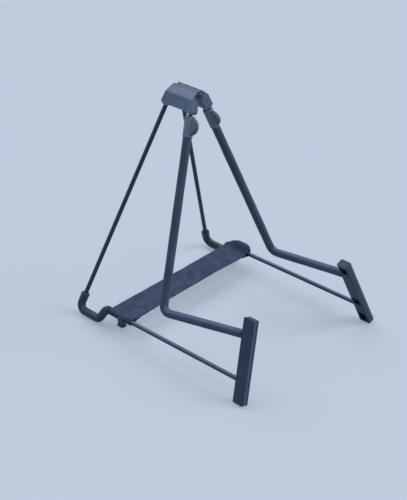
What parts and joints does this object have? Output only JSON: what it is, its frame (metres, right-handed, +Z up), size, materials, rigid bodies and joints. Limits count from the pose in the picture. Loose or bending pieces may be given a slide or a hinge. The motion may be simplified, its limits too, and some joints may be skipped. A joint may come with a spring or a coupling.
{
  "type": "guitar stand",
  "caption": "Folding A-frame guitar stand: padded cradle arms with upright end blocks, rubber rear feet, hinged moulded head and a tie strap",
  "frame": {"origin": "on the floor under the middle of the open stand's bounding box", "axes": "+Z up; -Y is the front, towards the end blocks and the guitar; +X is to the right when the stand is seen from its front, so the left frame is at -X"},
  "size_m": [0.2746, 0.3186, 0.3264],
  "materials": {
    "head_plastic": "satin moulded",
    "collar_plastic": "satin moulded",
    "block_plastic": "fine grain",
    "rod_paint": "satin paint",
    "hose_rubber": "smooth satin",
    "foot_rubber": "matte",
    "strap_web": "woven webbing",
    "steel": "dulled"
  },
  "bodies": {
    "left_frame": {"left_head_leaf": "head_plastic", "left_clamp_plate": "head_plastic", "left_clamp_screws": "steel", "left_front_rod": "rod_paint", "left_rear_rod": "rod_paint", "left_leg_hose": "hose_rubber", "left_foot_sleeve": "foot_rubber", "left_collar": "collar_plastic", "left_bumper": "foot_rubber", "left_end_block": "block_plastic", "left_block_screws": "steel", "left_strap_loop": "strap_web", "left_strap_clip": "block_plastic", "hinge_pin": "steel", "hinge_pin_cap": "block_plastic", "strap_web": "strap_web"},
    "right_frame": {"right_head_leaf": "head_plastic", "right_clamp_plate": "head_plastic", "right_clamp_screws": "steel", "right_front_rod": "rod_paint", "right_rear_rod": "rod_paint", "right_leg_hose": "hose_rubber", "right_foot_sleeve": "foot_rubber", "right_collar": "collar_plastic", "right_bumper": "foot_rubber", "right_end_block": "block_plastic", "right_block_screws": "steel", "right_strap_loop": "strap_web", "right_strap_clip": "block_plastic"}
  },
  "joints": [
    {"name": "fold", "type": "hinge", "parent": "left_frame", "child": "right_frame", "pos_m": [0, 0.06223, 0.32], "axis": [0, 1, 0], "range_deg": [0, 35], "deforming": ["strap_web"]}
  ]
}
